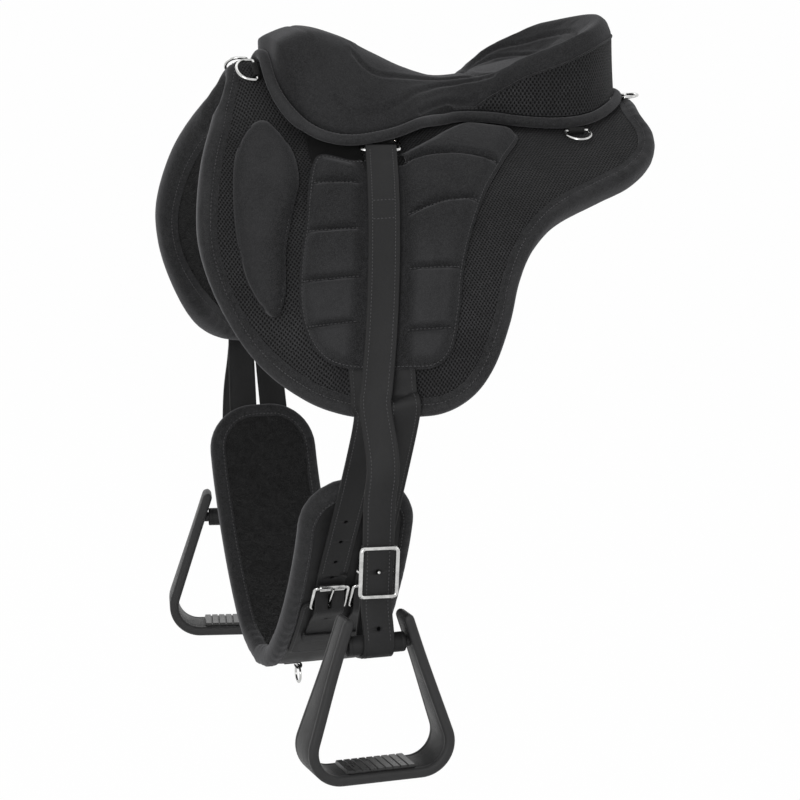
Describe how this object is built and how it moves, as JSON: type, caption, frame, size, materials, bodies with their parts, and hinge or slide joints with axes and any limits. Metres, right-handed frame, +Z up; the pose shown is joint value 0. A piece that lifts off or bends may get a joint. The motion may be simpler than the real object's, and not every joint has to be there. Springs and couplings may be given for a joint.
{
  "type": "treeless saddle",
  "caption": "Treeless riding saddle with quilted flaps, hanging stirrups and a short padded girth buckled to its billets.",
  "frame": {"origin": "underside of the pad over the horse's spine, 80 mm ahead of the seat's lowest point, at the mount horse_back", "axes": "+Z up, +X towards the horse's tail, -Y the near (left) side that the picture shows"},
  "size_m": [0.5104, 0.6381, 0.732],
  "materials": {
    "black_suede": "matt brushed suede",
    "black_mesh_fabric": "open spacer mesh",
    "black_plush": "soft pile",
    "black_leather": "smooth, slightly waxed",
    "black_suede_binding": "matt suede strip",
    "polished_steel": "polished stainless steel",
    "stirrup_leather_wrap": "leather glued over a moulded core",
    "tread_rubber": "ribbed",
    "black_nylon_web": "woven"
  },
  "bodies": {
    "saddle": {"base_pad": "black_mesh_fabric", "billet_front_left": "black_leather", "billet_front_right": "black_leather", "billet_rear_left": "black_leather", "billet_rear_right": "black_leather", "cantle_gusset": "black_mesh_fabric", "edge_binding": "black_suede_binding", "fleece_left": "black_plush", "fleece_right": "black_plush", "girth_body": "black_leather", "girth_buckle_front_left": "polished_steel", "girth_buckle_front_right": "polished_steel", "girth_buckle_rear_left": "polished_steel", "girth_buckle_rear_right": "polished_steel", "girth_patch_left": "black_leather", "girth_patch_right": "black_leather", "girth_plush": "black_plush", "girth_ring_tab": "black_leather", "girth_web": "black_nylon_web", "hanger_ring_left": "polished_steel", "hanger_ring_right": "polished_steel", "hanger_web": "black_nylon_web", "knee_roll_left": "black_suede", "knee_roll_right": "black_suede", "quilted_panel_left": "black_suede", "quilted_panel_right": "black_suede", "ring_tab_front_left": "black_nylon_web", "ring_tab_front_right": "black_nylon_web", "ring_tab_rear_centre": "black_nylon_web", "ring_tab_rear_left": "black_nylon_web", "ring_tab_rear_right": "black_nylon_web", "seat_binding": "black_suede_binding", "seat_cushion": "black_suede"},
    "leather_left": {"stirrup_leather_left": "black_leather", "conway_buckle_left": "polished_steel", "stirrup_sleeve_left": "stirrup_leather_wrap"},
    "stirrup_left": {"stirrup_frame_left": "stirrup_leather_wrap", "tread_pad_left": "tread_rubber"},
    "leather_right": {"stirrup_leather_right": "black_leather", "conway_buckle_right": "polished_steel", "stirrup_sleeve_right": "stirrup_leather_wrap"},
    "stirrup_right": {"stirrup_frame_right": "stirrup_leather_wrap", "tread_pad_right": "tread_rubber"},
    "ring_front_left": {"saddle_ring_front_left": "polished_steel"},
    "ring_front_right": {"saddle_ring_front_right": "polished_steel"},
    "ring_rear_left": {"saddle_ring_rear_left": "polished_steel"},
    "ring_rear_right": {"saddle_ring_rear_right": "polished_steel"},
    "ring_rear_centre": {"saddle_ring_rear_centre": "polished_steel"},
    "ring_girth": {"girth_ring": "polished_steel"},
    "prong_front_left": {"buckle_prong_front_left": "polished_steel"},
    "roller_front_left": {"buckle_roller_front_left": "polished_steel"},
    "prong_front_right": {"buckle_prong_front_right": "polished_steel"},
    "roller_front_right": {"buckle_roller_front_right": "polished_steel"},
    "prong_rear_left": {"buckle_prong_rear_left": "polished_steel"},
    "roller_rear_left": {"buckle_roller_rear_left": "polished_steel"},
    "prong_rear_right": {"buckle_prong_rear_right": "polished_steel"},
    "roller_rear_right": {"buckle_roller_rear_right": "polished_steel"}
  },
  "joints": [
    {"name": "leather_lift_left", "type": "hinge", "parent": "saddle", "child": "leather_left", "pos_m": [-0.05663, -0.11817, -0.01261], "axis": [-0.9774, 0.2112, 0.0126], "range_deg": [0, 60]},
    {"name": "stirrup_swing_left", "type": "hinge", "parent": "leather_left", "child": "stirrup_left", "pos_m": [-0.113, -0.285, -0.482], "axis": [-0.9986, -0.0523, 0], "range_deg": [-45, 45]},
    {"name": "leather_lift_right", "type": "hinge", "parent": "saddle", "child": "leather_right", "pos_m": [-0.05663, 0.11817, -0.01261], "axis": [0.9774, 0.2112, -0.0126], "range_deg": [0, 60]},
    {"name": "stirrup_swing_right", "type": "hinge", "parent": "leather_right", "child": "stirrup_right", "pos_m": [-0.113, 0.285, -0.482], "axis": [0.9781, -0.2079, 0], "range_deg": [-45, 45]},
    {"name": "ring_lift_front_left", "type": "hinge", "parent": "saddle", "child": "ring_front_left", "pos_m": [-0.16245, -0.02257, 0.06284], "axis": [0, 0.7217, 0.6922], "range_deg": [0, 85]},
    {"name": "ring_lift_front_right", "type": "hinge", "parent": "saddle", "child": "ring_front_right", "pos_m": [-0.16245, 0.02257, 0.06284], "axis": [0, 0.7217, -0.6922], "range_deg": [0, 85]},
    {"name": "ring_lift_rear_left", "type": "hinge", "parent": "saddle", "child": "ring_rear_left", "pos_m": [0.16292, -0.09406, -0.00247], "axis": [-0.9998, 0.0063, -0.0166], "range_deg": [0, 85]},
    {"name": "ring_lift_rear_right", "type": "hinge", "parent": "saddle", "child": "ring_rear_right", "pos_m": [0.16292, 0.09406, -0.00247], "axis": [0.9998, 0.0063, 0.0166], "range_deg": [0, 85]},
    {"name": "ring_lift_rear_centre", "type": "hinge", "parent": "saddle", "child": "ring_rear_centre", "pos_m": [0.24608, 0, 0.02112], "axis": [0, -1, 0], "range_deg": [0, 85]},
    {"name": "ring_swing_girth", "type": "hinge", "parent": "saddle", "child": "ring_girth", "pos_m": [-0.115, 0, -0.5817], "axis": [0, 1, 0], "range_deg": [-60, 60]},
    {"name": "prong_turn_front_left", "type": "hinge", "parent": "saddle", "child": "prong_front_left", "pos_m": [-0.1245, -0.15206, -0.47744], "axis": [1, 0, 0], "range_deg": [0, 12]},
    {"name": "roller_spin_front_left", "type": "hinge", "parent": "saddle", "child": "roller_front_left", "pos_m": [-0.1245, -0.16902, -0.4527], "axis": [1, 0, 0], "continuous": true},
    {"name": "prong_turn_front_right", "type": "hinge", "parent": "saddle", "child": "prong_front_right", "pos_m": [-0.1245, 0.15206, -0.47744], "axis": [-1, 0, 0], "range_deg": [0, 12]},
    {"name": "roller_spin_front_right", "type": "hinge", "parent": "saddle", "child": "roller_front_right", "pos_m": [-0.1245, 0.16902, -0.4527], "axis": [-1, 0, 0], "continuous": true},
    {"name": "prong_turn_rear_left", "type": "hinge", "parent": "saddle", "child": "prong_rear_left", "pos_m": [-0.0835, -0.15206, -0.47744], "axis": [1, 0, 0], "range_deg": [0, 12]},
    {"name": "roller_spin_rear_left", "type": "hinge", "parent": "saddle", "child": "roller_rear_left", "pos_m": [-0.0835, -0.16902, -0.4527], "axis": [1, 0, 0], "continuous": true},
    {"name": "prong_turn_rear_right", "type": "hinge", "parent": "saddle", "child": "prong_rear_right", "pos_m": [-0.0835, 0.15206, -0.47744], "axis": [-1, 0, 0], "range_deg": [0, 12]},
    {"name": "roller_spin_rear_right", "type": "hinge", "parent": "saddle", "child": "roller_rear_right", "pos_m": [-0.0835, 0.16902, -0.4527], "axis": [-1, 0, 0], "continuous": true}
  ]
}
